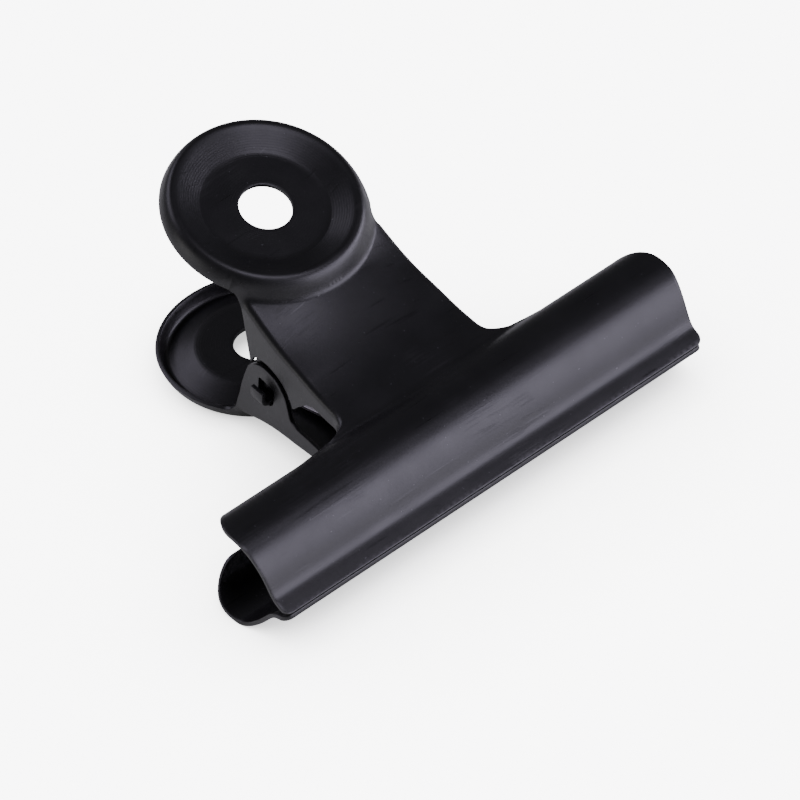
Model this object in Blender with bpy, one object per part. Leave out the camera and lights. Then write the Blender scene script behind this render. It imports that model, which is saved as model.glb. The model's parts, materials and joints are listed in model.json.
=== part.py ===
"""Bulldog clip with round thumb discs: two stamped steel levers hinged on each other
and a U-shaped leaf spring between them.

Every shape is first worked out in the clip's own frame, in millimetres: X runs along
the jaw, Y from the lips to the thumb discs, and Z is the distance from the mid-plane
between the levers. The finished pieces are then laid down, so that the lower lever
rests on its jaw and on its thumb disc, with +Z up and metres as the unit.
"""

import math

import bmesh
import bpy
from mathutils import Matrix, Vector
from mathutils.geometry import delaunay_2d_cdt

MM = 0.001

# ---- driving dimensions, millimetres -------------------------------------------------
SHEET = 0.65                 # thickness of the lever stampings
JAW_WIDTH = 76.0             # between the lip's corners: taken as 3 inches
LIP_HEIGHT = 0.8             # outer face of the closed lip above the mid-plane
CREST_Y = 9.6                # crest of the jaw's arch
CREST_HEIGHT = 8.1
JAW_BACK_Y = 16.1            # back edge of the jaw
JAW_FLARE = 0.85             # how far the arch's ends stand out past the lip corners
FRONT_CORNER = 1.2           # corner radii of the jaw in plan
BACK_CORNER = 5.5
JAW_FILLET = 3.3             # concave fillet between the jaw's back and the neck
NECK_HALF = 12.2             # half width of the neck at the thumb disc
NECK_TAPER = 0.046           # growth of that half width per millimetre towards the jaw
NECK_FILLET = 1.6            # concave fillet between the neck and the thumb disc
DISC_Y = 48.0                # centre of the thumb disc
DISC_HEIGHT = 14.1           # its recessed flat above the mid-plane
DISC_TILT = math.radians(9.0)
DISC_RADIUS = 14.6
FLAT_RADIUS = 8.8            # its flat, inside the cone that rises to the bead
HANG_HOLE_RADIUS = 3.7
PIVOT_Y = 33.1               # hinge axis, parallel to X, below the mid-plane
PIVOT_Z = -2.6
FOLD_RADIUS = 0.9            # outer radius of the fold between the neck and its flanges
REAR_EDGE_TOP = 39.45        # where the flanges' rear edges meet the skirt of the disc
ARCH_RADIUS = 6.0            # relief in the upper lever's flanges, round the hinge
EAR_RADIUS = 4.75            # ears of the lower lever, nested in that relief
EAR_HOLE_HALF = 1.65         # hole in each ear: half width, which is its bottom's radius too,
EAR_HOLE_TOP = 2.3           # and its flat top above the hinge axis
TONGUE_RADIUS = 1.7          # outer radius of the upper lever's scooped tongues
TONGUE_REACH = 1.8           # how far they stand out past the ears
TONGUE_WIDTH = 2.4
TONGUE_DROP = 0.75           # their underside below the hinge axis
TONGUE_LIP = 1.25            # straight lip above the scoop's bend
TAB_GAP = 0.3                # between an ear and the tab behind it
SPRING_STRIP = 0.5           # leaf spring: thickness, width, bend and legs
SPRING_WIDTH = 14.0
SPRING_BEND_Y = 29.5
SPRING_BEND_RADIUS = 6.4
SPRING_LEG_ANGLE = math.radians(21.0)
SPRING_LEG_END_Y = 36.0

MESH_STEP = 1.4              # spacing of the points that carry the sheet's surface
ROLL_ROWS = 5                # rows of points over the neck's rolled side
FLANGE_ROWS = 5              # and down its flange


# ---- heights of the stamped surface --------------------------------------------------
JAW_PROFILE = [(0.0, LIP_HEIGHT), (1.2, 1.25), (2.2, 1.68), (2.9, 2.35), (3.8, 3.7), (4.8, 5.1),
               (6.2, 6.65), (7.8, 7.75), (CREST_Y, CREST_HEIGHT), (11.5, 7.98), (13.2, 7.55),
               (14.6, 6.75), (15.5, 5.7), (JAW_BACK_Y, 4.6)]
JAW_END_SLOPE = -1.9         # the arch's slope past its back edge

DISC_PROFILE = [(FLAT_RADIUS, 0.0), (8.9, 0.02), (9.15, 0.13), (11.4, 1.2), (12.1, 1.52), (12.6, 1.64),
                (13.1, 1.55), (13.6, 1.15), (14.0, 0.55), (14.35, -0.15), (DISC_RADIUS, -0.8)]
DISC_END_SLOPE = -1.9


def curve_value(points, end_slope, t):
    """Smooth curve through points (t ascending), straight past its end."""
    if t <= points[0][0]:
        return points[0][1]
    if t >= points[-1][0]:
        return points[-1][1] + end_slope * (t - points[-1][0])
    slopes = []
    for index, (position, value) in enumerate(points):
        before = points[max(index - 1, 0)]
        after = points[min(index + 1, len(points) - 1)]
        slopes.append((after[1] - before[1]) / (after[0] - before[0]))
    for index in range(len(points) - 1):
        (t0, v0), (t1, v1) = points[index], points[index + 1]
        if t <= t1:
            span = t1 - t0
            s = (t - t0) / span
            return ((2 * s ** 3 - 3 * s ** 2 + 1) * v0 + (s ** 3 - 2 * s ** 2 + s) * span * slopes[index]
                    + (3 * s ** 2 - 2 * s ** 3) * v1 + (s ** 3 - s ** 2) * span * slopes[index + 1])
    return points[-1][1]


def smooth_max(a, b, radius):
    """The larger of two heights, rounded where they cross."""
    overlap = max(radius - abs(a - b), 0.0) / radius
    return max(a, b) + overlap * overlap * radius / 4.0


def blend(a, b, start, end, t):
    s = min(max((t - start) / (end - start), 0.0), 1.0)
    s = s * s * (3.0 - 2.0 * s)
    return a + (b - a) * s


def neck_centre_height(y):
    """Outer surface of the neck on the centre line: it climbs from the jaw to the disc."""
    start, bend, straight, flat = 14.6, 20.0, 32.0, 38.0
    slope_low, slope_high, start_height = 0.06, 0.44, 6.85
    if y < start:
        return start_height - 1.5 * (start - y)
    height = start_height + slope_low * (min(y, flat) - start)
    rise = (slope_high - slope_low) / (straight - bend)
    curved = min(max(y - bend, 0.0), straight - bend)
    height += 0.5 * rise * curved ** 2
    height += (slope_high - slope_low) * max(min(y, flat) - straight, 0.0)
    return height


def neck_half_width(y):
    return NECK_HALF + NECK_TAPER * max(39.0 - y, 0.0)


def neck_height(x, y):
    """Domed top of the neck, without the roll along its sides."""
    dome = blend(0.75, 1.75, 25.0, 35.0, y)
    return neck_centre_height(y) - dome * (x / (neck_half_width(y) - FOLD_RADIUS)) ** 2


def disc_plane(y):
    return DISC_HEIGHT + math.tan(DISC_TILT) * (y - DISC_Y)


def surface_height(x, y):
    """Outer surface of a lever above the mid-plane."""
    height = curve_value(JAW_PROFILE, JAW_END_SLOPE, y)
    if y > 12.0:
        height = smooth_max(height, neck_height(x, y), 0.5)
    radius = math.hypot(x, y - DISC_Y)
    if radius < DISC_RADIUS + 3.0:
        disc = disc_plane(y) + curve_value(DISC_PROFILE, DISC_END_SLOPE, radius)
        if radius < 11.5:
            height = disc
        else:
            height = smooth_max(height, disc, 0.7)
    return height


# ---- plan outline --------------------------------------------------------------------
def arc_points(centre, radius, start_deg, end_deg, count):
    """Points of an arc, without its first one."""
    points = []
    for index in range(1, count + 1):
        angle = math.radians(start_deg + (end_deg - start_deg) * index / count)
        points.append((centre[0] + radius * math.cos(angle), centre[1] + radius * math.sin(angle)))
    return points


def line_points(start, end, step):
    """Points of a straight run, without its first one."""
    count = max(1, round(math.dist(start, end) / step))
    return [(start[0] + (end[0] - start[0]) * i / count, start[1] + (end[1] - start[1]) * i / count)
            for i in range(1, count + 1)]


def jaw_end_x(y):
    return JAW_WIDTH / 2 + blend(0.0, JAW_FLARE, 2.0, 9.0, y)


def neck_disc_fillet():
    """Centre of the concave fillet that joins the neck's side to the disc."""
    x = NECK_HALF + NECK_FILLET
    drop = math.sqrt((DISC_RADIUS + NECK_FILLET) ** 2 - x ** 2)
    return (x, DISC_Y - drop)


def half_outline(step, arc_count):
    """Right half of the blank's outline, from the lip's middle round to the disc's top."""
    points = [(0.0, 0.0)]
    corner = (JAW_WIDTH / 2 - FRONT_CORNER, FRONT_CORNER)
    points += line_points(points[-1], (corner[0], 0.0), step * 2)
    points += arc_points(corner, FRONT_CORNER, -90, 0, arc_count // 2)
    back_start = JAW_BACK_Y - BACK_CORNER
    count = round((back_start - FRONT_CORNER) / (0.7 * step))
    for index in range(1, count + 1):
        y = FRONT_CORNER + (back_start - FRONT_CORNER) * index / count
        points.append((jaw_end_x(y), y))
    back = (jaw_end_x(back_start) - BACK_CORNER, back_start)
    points += arc_points(back, BACK_CORNER, 0, 90, arc_count)
    fillet = (neck_half_width(JAW_BACK_Y + JAW_FILLET) + JAW_FILLET, JAW_BACK_Y + JAW_FILLET)
    points += line_points(points[-1], (fillet[0], JAW_BACK_Y), step * 1.5)
    points += arc_points(fillet, JAW_FILLET, 270, 180, arc_count)
    disc_fillet = neck_disc_fillet()
    keys = [24.7, 26.4, 27.1, 27.5, 28.0, 28.5, PIVOT_Y, 35.9, 36.6, 37.1, disc_fillet[1]]
    for key in keys:
        points += line_points(points[-1], (neck_half_width(key), key), 0.55 * step)
    touch = math.degrees(math.atan2(disc_fillet[1] - DISC_Y, disc_fillet[0]))
    points += arc_points(disc_fillet, NECK_FILLET, 180, 180 + touch, arc_count // 2)
    points += arc_points((0.0, DISC_Y), DISC_RADIUS, touch, 90, arc_count * 4)
    return points


def roll_radius(x, y):
    """Radius of the roll along the neck's side; it fades out at the jaw and at the skirt."""
    if y < JAW_BACK_Y or abs(x) > neck_half_width(JAW_BACK_Y) + JAW_FILLET + 0.1:
        return 0.0
    return FOLD_RADIUS * blend(0.0, 1.0, JAW_BACK_Y, 18.0, y) * blend(1.0, 0.0, 39.0, 41.2, y)


def rim_stations(half):
    """Outline points all round the blank, each with its outward normal and roll radius."""
    right = []
    for index, (x, y) in enumerate(half):
        before, after = half[max(index - 1, 0)], half[min(index + 1, len(half) - 1)]
        length = math.dist(before, after)
        normal = ((after[1] - before[1]) / length, (before[0] - after[0]) / length)
        right.append((x, y, normal[0], normal[1], roll_radius(x, y)))
    left = [(-x, y, -nx, ny, roll) for x, y, nx, ny, roll in reversed(right[1:])]
    return right[:-1] + left


def inset_x_at(y):
    """Half width of the neck between its rolls."""
    best = neck_half_width(y)
    if y < JAW_BACK_Y + JAW_FILLET:
        reach = JAW_FILLET ** 2 - (JAW_BACK_Y + JAW_FILLET - y) ** 2
        best += JAW_FILLET - math.sqrt(max(reach, 0.0))
    return best - roll_radius(best, y)


# ---- flange depth below the rolled edge ----------------------------------------------

def interpolate(points, t):
    for (t0, v0), (t1, v1) in zip(points, points[1:]):
        if t0 <= t <= t1:
            return v0 + (v1 - v0) * (t - t0) / (t1 - t0)
    return None


def upper_flange_edge(y):
    """Lower edge of the upper lever's flange: a short drop, then the relief for the ear."""
    arch_start, arch_end = 27.5, 35.9
    if y < arch_start:
        return interpolate([(JAW_BACK_Y, 4.6), (17.6, 3.9), (19.4, 3.6), (23.3, 3.6), (24.7, 2.9),
                            (26.4, 0.9), (27.1, -0.1), (arch_start, -0.2)], y)
    if y < arch_end:
        return PIVOT_Z + math.sqrt(ARCH_RADIUS ** 2 - (y - PIVOT_Y) ** 2)
    return interpolate([(arch_end, 2.71), (36.6, 1.05), (37.1, 2.9), (REAR_EDGE_TOP, 12.0)], y)


def lower_flange_edge(y):
    """The same edge on the lower lever, mirrored, with the round ear standing up from it."""
    ear_start, ear_end = PIVOT_Y - EAR_RADIUS + 0.15, 37.0
    if y < ear_start:
        return interpolate([(JAW_BACK_Y, 4.6), (17.6, 3.9), (19.4, 3.6), (26.4, 3.7), (27.5, 3.4),
                            (28.0, 2.9), (ear_start, 1.4)], y)
    if y < ear_end:
        return -(PIVOT_Z + math.sqrt(EAR_RADIUS ** 2 - (y - PIVOT_Y) ** 2))
    return interpolate([(ear_end, -0.2), (37.6, 1.7), (38.3, 4.6), (38.7, 7.2), (39.1, 8.6),
                        (REAR_EDGE_TOP, 12.0)], y)


# ---- lever stamping ------------------------------------------------------------------
def interior_points():
    """Points inside the outline: jaw rows, neck rows and rings of the thumb disc."""
    points = []
    jaw_rows = [0.7, 1.4, 2.1, 2.8, 3.6, 4.5, 5.5, 6.6, 7.8, 9.2, 10.6, 12.0, 13.2, 14.2, 15.1, 15.7]
    for y in jaw_rows:
        limit = jaw_end_x(y) - 0.9
        if y > JAW_BACK_Y - BACK_CORNER:
            inset = BACK_CORNER - math.sqrt(BACK_CORNER ** 2 - (y - JAW_BACK_Y + BACK_CORNER) ** 2)
            limit -= inset
        count = max(2, round(2 * limit / (2.0 * MESH_STEP)))
        points += [(-limit + 2 * limit * i / count, y) for i in range(count + 1)]
    y = JAW_BACK_Y + 0.4
    while y < DISC_Y - DISC_RADIUS:
        limit = inset_x_at(y) - 0.5 * MESH_STEP
        count = max(2, round(2.0 * limit / (1.1 * MESH_STEP)))
        points += [(-limit + 2 * limit * i / count, y) for i in range(count + 1)]
        y += 0.7 * MESH_STEP
    for radius in (5.6, 7.5, FLAT_RADIUS, 9.3, 10.4, 11.4, 12.1, 12.6, 13.1, 13.6, 14.0, 14.35, 14.9):
        count = 64 if radius > 9.0 else 40
        for index in range(count):
            angle = 2.0 * math.pi * index / count
            x, y = radius * math.cos(angle), DISC_Y + radius * math.sin(angle)
            inside_neck = y < DISC_Y - 6.0 and abs(x) < inset_x_at(y) - 0.4
            if inside_neck or (y > DISC_Y - 6.0 and radius < DISC_RADIUS - 0.2):
                points.append((x, y))
    return points


def blank_mesh(stations):
    """Flat blank between the rolls: points and triangles, with the hanging hole open."""
    loop = [(x - nx * roll, y - ny * roll) for x, y, nx, ny, roll in stations]
    hole = [(HANG_HOLE_RADIUS * math.cos(2 * math.pi * i / 32),
             DISC_Y + HANG_HOLE_RADIUS * math.sin(2 * math.pi * i / 32)) for i in range(32)]
    edges = [(i, (i + 1) % len(loop)) for i in range(len(loop))]
    start = len(loop)
    edges += [(start + i, start + (i + 1) % len(hole)) for i in range(len(hole))]
    coords = [Vector(p) for p in loop + hole + interior_points()]
    result = delaunay_2d_cdt(coords, edges, [], 1, 1e-4)
    points, faces, sources = result[0], result[2], result[3]
    kept = []
    for face in faces:
        centre = sum((points[i] for i in face), Vector((0.0, 0.0))) / len(face)
        if math.hypot(centre.x, centre.y - DISC_Y) > HANG_HOLE_RADIUS:
            kept.append(tuple(face))
    index_of = {source: new for new, group in enumerate(sources) for source in group}
    loop_index = [index_of[i] for i in range(len(loop))]
    return points, kept, loop_index


def make_lever(name, flange_edge, side):
    """One stamping. side is +1 for the upper lever and -1 for its mirror image below."""
    stations = rim_stations(half_outline(MESH_STEP, 8))
    points, faces, loop = blank_mesh(stations)
    bm = bmesh.new()
    verts = []
    used = {i for face in faces for i in face}
    for index, point in enumerate(points):
        height = surface_height(point.x, point.y)
        verts.append(bm.verts.new((point.x, point.y, side * height)) if index in used else None)
    for face in faces:
        bm.faces.new([verts[i] for i in face])
    add_flanges(bm, stations, [verts[i] for i in loop], flange_edge, side)
    bmesh.ops.recalc_face_normals(bm, faces=bm.faces)
    bm.faces.ensure_lookup_table()
    flat = max(bm.faces, key=lambda f: abs(f.normal.z) - abs(f.calc_center_median().y - DISC_Y - 6.0))
    if flat.normal.z * side < 0.0:
        bmesh.ops.reverse_faces(bm, faces=bm.faces)
    mesh = bpy.data.meshes.new(name)
    bm.to_mesh(mesh)
    bm.free()
    lever = bpy.data.objects.new(name, mesh)
    bpy.context.collection.objects.link(lever)
    thickness = lever.modifiers.new("sheet_thickness", "SOLIDIFY")
    thickness.thickness = SHEET
    thickness.offset = -1.0
    return lever


def rim_column(bm, station, start, flange_edge, side):
    """Points from the blank's edge over the roll and down the flange, repeated where flat."""
    x, y, nx, ny, roll = station
    column = [start]
    for row in range(1, ROLL_ROWS + 1):
        if roll < 0.02:
            column.append(start)
            continue
        angle = math.pi / 2 * row / ROLL_ROWS
        back = roll * (1.0 - math.sin(angle))
        px, py = x - nx * back, y - ny * back
        height = surface_height(px, py) - roll * (1.0 - math.cos(angle))
        column.append(bm.verts.new((px, py, side * height)))
    last = column[-1]
    top = side * last.co.z
    on_neck = JAW_BACK_Y + 0.05 < y < REAR_EDGE_TOP
    bottom = flange_edge(y) if on_neck else None
    for row in range(1, FLANGE_ROWS + 1):
        if bottom is None or bottom > top - 0.05:
            column.append(last)
        else:
            height = top + (bottom - top) * row / FLANGE_ROWS
            column.append(bm.verts.new((x, y, side * height)))
    return column


def add_flanges(bm, stations, loop, flange_edge, side):
    """Rolled sides of the neck and the vertical flanges under them."""
    columns = [rim_column(bm, station, vert, flange_edge, side) for station, vert in zip(stations, loop)]
    for first, second in zip(columns, columns[1:] + columns[:1]):
        for k in range(ROLL_ROWS + FLANGE_ROWS):
            ring = [first[k], second[k], second[k + 1], first[k + 1]]
            corners = [v for i, v in enumerate(ring) if v not in ring[:i]]
            if len(corners) > 2:
                bm.faces.new(corners)


def extruded(name, outline, shift):
    """Prism from a flat outline of 3-D points, drawn out along a vector."""
    bm = bmesh.new()
    face = bm.faces.new([bm.verts.new(point) for point in outline])
    far = bmesh.ops.extrude_face_region(bm, geom=[face])["geom"]
    bmesh.ops.translate(bm, vec=shift, verts=[item for item in far if isinstance(item, bmesh.types.BMVert)])
    bmesh.ops.recalc_face_normals(bm, faces=bm.faces)
    mesh = bpy.data.meshes.new(name)
    bm.to_mesh(mesh)
    bm.free()
    prism = bpy.data.objects.new(name, mesh)
    bpy.context.collection.objects.link(prism)
    prism.hide_render = True
    prism.display_type = "WIRE"
    return prism


def extruded_along_x(name, outline, x_start, x_end):
    """Prism along X over an outline of (y, z) points."""
    return extruded(name, [(x_start, y, z) for y, z in outline], (x_end - x_start, 0.0, 0.0))


def combine(target, tool, operation):
    step = target.modifiers.new(operation.lower() + "_" + tool.name, "BOOLEAN")
    step.operation = operation
    step.object = tool
    step.solver = "EXACT"


def ear_hole_outline():
    """Hole with a round bottom about the hinge axis and a flat top."""
    corner = 0.4
    side, top = EAR_HOLE_HALF - corner, PIVOT_Z + EAR_HOLE_TOP - corner
    points = arc_points((PIVOT_Y, PIVOT_Z), EAR_HOLE_HALF, 180, 360, 12)
    points += arc_points((PIVOT_Y + side, top), corner, -22.5, 90, 5)
    points += arc_points((PIVOT_Y - side, top), corner, 67.5, 180, 5)
    return points


def tab_outline():
    """Tab behind the ear: a round end under the hinge and a root above the relief."""
    points = arc_points((PIVOT_Y, PIVOT_Z), 3.4, 200, 340, 10)
    points += [(PIVOT_Y + 3.3, PIVOT_Z + 6.9), (PIVOT_Y - 3.3, PIVOT_Z + 6.9)]
    return points


def root_outline():
    """Where the tab is joined to the inside of the flange, just above the relief."""
    inner = arc_points((PIVOT_Y, PIVOT_Z), ARCH_RADIUS + 0.25, 58, 122, 8)
    return inner + [(PIVOT_Y - 3.3, PIVOT_Z + 6.9), (PIVOT_Y + 3.3, PIVOT_Z + 6.9)]


def tongue_outline(sign, root_x):
    """Scoop seen along Y: out of the tab, through the ear's hole, and bent up to a lip."""
    bend = (neck_half_width(PIVOT_Y) + TONGUE_REACH - TONGUE_RADIUS, PIVOT_Z - TONGUE_DROP + TONGUE_RADIUS)
    inner_radius = TONGUE_RADIUS - SHEET
    lip_top = bend[1] + TONGUE_LIP
    outer = [(root_x, bend[1] - TONGUE_RADIUS), (bend[0], bend[1] - TONGUE_RADIUS)]
    outer += arc_points(bend, TONGUE_RADIUS, -90, 0, 8)
    outer += [(bend[0] + TONGUE_RADIUS, lip_top), (bend[0] + inner_radius, lip_top)]
    inner = [(bend[0] + inner_radius, bend[1])] + arc_points(bend, inner_radius, 0, -90, 8)
    inner += [(root_x, bend[1] - inner_radius)]
    return [(sign * x, PIVOT_Y - TONGUE_WIDTH / 2, z) for x, z in outer + inner]


def make_hinge_tabs():
    """Joggled tabs inside the upper lever's flanges, with the tongues that are its pivots."""
    face = neck_half_width(PIVOT_Y)
    tab_outer = face - SHEET - TAB_GAP
    pieces = []
    for sign, label in ((1, "right"), (-1, "left")):
        pieces.append(extruded_along_x("tab_" + label, tab_outline(), sign * (tab_outer - SHEET),
                                       sign * tab_outer))
        pieces.append(extruded_along_x("tab_root_" + label, root_outline(), sign * (tab_outer - 0.2),
                                       sign * (face - 0.25)))
        pieces.append(extruded("tongue_" + label, tongue_outline(sign, tab_outer - 0.3),
                               (0.0, TONGUE_WIDTH, 0.0)))
    return pieces


def make_ear_hole_cutter():
    return extruded_along_x("ear_hole_cutter", ear_hole_outline(), -NECK_HALF - 4.0, NECK_HALF + 4.0)


# ---- leaf spring ---------------------------------------------------------------------
def make_spring():
    """Strip bent to a U round the hinge, its legs spreading under both necks."""
    turn = math.degrees(SPRING_LEG_ANGLE) + 90.0
    bend = [(SPRING_BEND_Y + SPRING_BEND_RADIUS * math.cos(math.radians(a)),
             SPRING_BEND_RADIUS * math.sin(math.radians(a)))
            for a in [turn + (360.0 - 2.0 * turn) * i / 20 for i in range(21)]]
    run = SPRING_LEG_END_Y - bend[0][0]
    tip = (SPRING_LEG_END_Y, bend[0][1] + run * math.tan(SPRING_LEG_ANGLE))
    curl = (tip[0] + 1.6, tip[1] - 0.1)
    path = [curl, tip] + bend + [(tip[0], -tip[1]), (curl[0], -curl[1])]
    bm = bmesh.new()
    rows = []
    for index, (y, z) in enumerate(path):
        before, after = path[max(index - 1, 0)], path[min(index + 1, len(path) - 1)]
        direction = Vector((after[0] - before[0], after[1] - before[1])).normalized()
        offset = Vector((-direction.y, direction.x)) * SPRING_STRIP / 2
        ring = []
        for x in (-SPRING_WIDTH / 2, SPRING_WIDTH / 2):
            for sign in (1, -1):
                ring.append(bm.verts.new((x, y + sign * offset.x, z + sign * offset.y)))
        rows.append([ring[0], ring[1], ring[3], ring[2]])
    for first, second in zip(rows, rows[1:]):
        for k in range(4):
            bm.faces.new((first[k], first[(k + 1) % 4], second[(k + 1) % 4], second[k]))
    bm.faces.new(rows[0])
    bm.faces.new(rows[-1])
    bmesh.ops.recalc_face_normals(bm, faces=bm.faces)
    mesh = bpy.data.meshes.new("leaf_spring")
    bm.to_mesh(mesh)
    bm.free()
    spring = bpy.data.objects.new("leaf_spring", mesh)
    bpy.context.collection.objects.link(spring)
    return spring


# ---- materials -----------------------------------------------------------------------
def metal_material(name, colour, roughness, metallic):
    material = bpy.data.materials.new(name)
    material.use_nodes = True
    shader = material.node_tree.nodes["Principled BSDF"]
    shader.inputs["Base Color"].default_value = (*colour, 1.0)
    shader.inputs["Roughness"].default_value = roughness
    shader.inputs["Metallic"].default_value = metallic
    return material


# ---- laying the clip down ------------------------------------------------------------
def lowest_height(corners, angle):
    return min(y * math.sin(angle) + z * math.cos(angle) for y, z in corners)


def lying_angle(lower):
    """Angle at which the lower lever's jaw and disc are equally low."""
    corners = [(v.co.y, v.co.z) for v in lower.data.vertices]
    jaw = [c for c in corners if c[0] < JAW_BACK_Y]
    disc = [c for c in corners if c[0] > DISC_Y - DISC_RADIUS]
    low, high = 0.0, math.radians(30.0)
    for _ in range(40):
        middle = (low + high) / 2
        if lowest_height(disc, middle) < lowest_height(jaw, middle):
            low = middle
        else:
            high = middle
    return (low + high) / 2


def lay_down(pieces, lower):
    """Bake the lying pose and the metre scale into the meshes, hinge axis as origin."""
    angle = lying_angle(lower)
    turn = Matrix.Rotation(angle, 4, "X")
    world = [turn @ v.co for piece in pieces for v in piece.data.vertices]
    front, back = min(p.y for p in world), max(p.y for p in world)
    floor = min((turn @ v.co).z for v in lower.data.vertices)
    place = Matrix.Translation((0.0, -(front + back) / 2, -floor)) @ turn
    pivot = place @ Vector((0.0, PIVOT_Y, PIVOT_Z))
    for piece in pieces:
        piece.data.transform(Matrix.Scale(MM, 4) @ Matrix.Translation(-pivot) @ place)
        piece.location = pivot * MM
    return pivot * MM


# ---- build ---------------------------------------------------------------------------
def apply_modifiers(piece):
    depsgraph = bpy.context.evaluated_depsgraph_get()
    mesh = bpy.data.meshes.new_from_object(piece.evaluated_get(depsgraph))
    piece.modifiers.clear()
    piece.data = mesh
    mesh.name = piece.name


def build():
    for existing in list(bpy.data.objects):
        bpy.data.objects.remove(existing, do_unlink=True)
    enamel = metal_material("black_enamel", (0.018, 0.018, 0.021), 0.36, 0.35)
    steel = metal_material("spring_steel", (0.42, 0.42, 0.43), 0.32, 1.0)

    upper = make_lever("upper_lever", upper_flange_edge, 1)
    for tab in make_hinge_tabs():
        combine(upper, tab, "UNION")
    lower = make_lever("lower_lever", lower_flange_edge, -1)
    combine(lower, make_ear_hole_cutter(), "DIFFERENCE")
    spring = make_spring()

    pieces = [upper, lower, spring]
    for piece in pieces:
        apply_modifiers(piece)
    for helper in [o for o in bpy.data.objects if o not in pieces]:
        bpy.data.objects.remove(helper, do_unlink=True)
    lay_down(pieces, lower)
    for piece, material in ((upper, enamel), (lower, enamel), (spring, steel)):
        piece.data.materials.clear()
        piece.data.materials.append(material)
        piece.data.shade_smooth()
        piece.data.set_sharp_from_angle(angle=math.radians(40.0))


build()
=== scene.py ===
"""Bulldog clip with round thumb discs, lying on a pale floor.

The levers are shaped in the clip's own frame, in millimetres: X runs along the jaw,
Y from the lips to the thumb discs, and Z is the distance from the mid-plane between
the levers. They are then laid down about the hinge axis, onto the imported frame.
"""

import json
import math

import bmesh
import bpy
from mathutils import Matrix, Vector
from mathutils.geometry import delaunay_2d_cdt


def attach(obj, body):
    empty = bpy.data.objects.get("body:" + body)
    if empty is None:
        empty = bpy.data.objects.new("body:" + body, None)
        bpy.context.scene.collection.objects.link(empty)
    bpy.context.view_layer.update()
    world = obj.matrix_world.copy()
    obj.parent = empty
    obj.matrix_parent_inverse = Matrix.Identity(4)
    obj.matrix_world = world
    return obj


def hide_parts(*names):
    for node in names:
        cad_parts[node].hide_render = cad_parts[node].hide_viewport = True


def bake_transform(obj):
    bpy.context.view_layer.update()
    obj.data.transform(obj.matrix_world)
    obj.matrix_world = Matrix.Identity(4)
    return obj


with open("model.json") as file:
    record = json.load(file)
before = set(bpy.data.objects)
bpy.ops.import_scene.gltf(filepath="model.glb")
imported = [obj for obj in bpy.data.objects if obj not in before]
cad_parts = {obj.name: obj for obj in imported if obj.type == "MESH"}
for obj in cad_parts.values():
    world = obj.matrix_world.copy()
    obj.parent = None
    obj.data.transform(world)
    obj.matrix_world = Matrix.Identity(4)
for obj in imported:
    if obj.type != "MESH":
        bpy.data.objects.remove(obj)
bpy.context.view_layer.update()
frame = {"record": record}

MM = 0.001
RECORD = frame["record"]
HINGE = Vector(RECORD["behaviour"]["joints"][0]["pos_m"])

# ---- driving dimensions, millimetres -------------------------------------------------
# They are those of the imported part, except that the closed lips are nearer together here.
SHEET = 0.65                 # thickness of the lever stampings
JAW_WIDTH = 76.0             # between the lip's corners: taken as 3 inches
LIP_HEIGHT = 0.68            # outer face of the closed lip above the mid-plane
CREST_Y = 9.6                # crest of the jaw's arch
CREST_HEIGHT = 8.1
JAW_BACK_Y = 16.1            # back edge of the jaw
JAW_FLARE = 0.85             # how far the arch's ends stand out past the lip corners
FRONT_CORNER = 1.2           # corner radii of the jaw in plan
BACK_CORNER = 5.5
JAW_FILLET = 3.3             # concave fillet between the jaw's back and the neck
NECK_HALF = 12.2             # half width of the neck at the thumb disc
NECK_TAPER = 0.046           # growth of that half width per millimetre towards the jaw
NECK_TAPER_END_Y = 39.0      # and where it stops, towards the disc
NECK_FILLET = 1.6            # concave fillet between the neck and the thumb disc
DISC_Y = 48.0                # centre of the thumb disc
DISC_HEIGHT = 14.1           # its recessed flat above the mid-plane
DISC_TILT = math.radians(9.0)
DISC_RADIUS = 14.6
FLAT_RADIUS = 8.8            # its flat, inside the cone that rises to the bead
HANG_HOLE_RADIUS = 3.7
PIVOT_Y = 33.1               # hinge axis, parallel to X, below the mid-plane
PIVOT_Z = -2.6
FOLD_RADIUS = 0.9            # outer radius of the fold between the neck and its flanges
FOLD_FULL_Y = 18.0           # where the fold reaches that radius, behind the jaw
FOLD_FADE = (39.0, 41.2)     # and where it fades out again, under the disc's skirt
REAR_EDGE_TOP = 39.45        # where the flanges' rear edges meet the skirt of the disc
ARCH_RADIUS = 6.0            # relief in the upper lever's flanges, round the hinge
EAR_RADIUS = 4.75            # ears of the lower lever, nested in that relief
EAR_HOLE_HALF = 1.65         # hole in each ear: half width, which is its bottom's radius too,
EAR_HOLE_TOP = 2.3           # and its flat top above the hinge axis
EAR_HOLE_CORNER = 0.4        # corner radius of that top
TONGUE_RADIUS = 1.7          # outer radius of the upper lever's scooped tongues
TONGUE_REACH = 1.8           # how far they stand out past the ears
TONGUE_WIDTH = 2.4
TONGUE_DROP = 0.75           # their underside below the hinge axis
TONGUE_LIP = 1.25            # straight lip above the scoop's bend
TAB_GAP = 0.3                # between an ear and the tab behind it
TAB_RADIUS = 3.4             # the tab's round end, about the hinge axis
TAB_HALF = 3.3               # half the width of its root
TAB_TOP = 6.9                # and the root's top above the hinge axis
SPRING_STRIP = 0.5           # leaf spring: thickness, width, bend and legs
SPRING_WIDTH = 14.0
SPRING_BEND_Y = 29.5
SPRING_BEND_RADIUS = 6.4
SPRING_LEG_ANGLE = math.radians(21.0)
SPRING_LEG_END_Y = 36.0
SPRING_TOE = (1.6, -0.1)     # the leg's last stretch, nearly parallel to the neck

SHEET_EDGE = 0.1             # softening of the sheet's cut edges
EDGE_ANGLE = math.radians(50.0)      # sharper edges than this are softened
SHARP_ANGLE = math.radians(38.0)     # and sharper ones than this are shaded as edges

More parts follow.
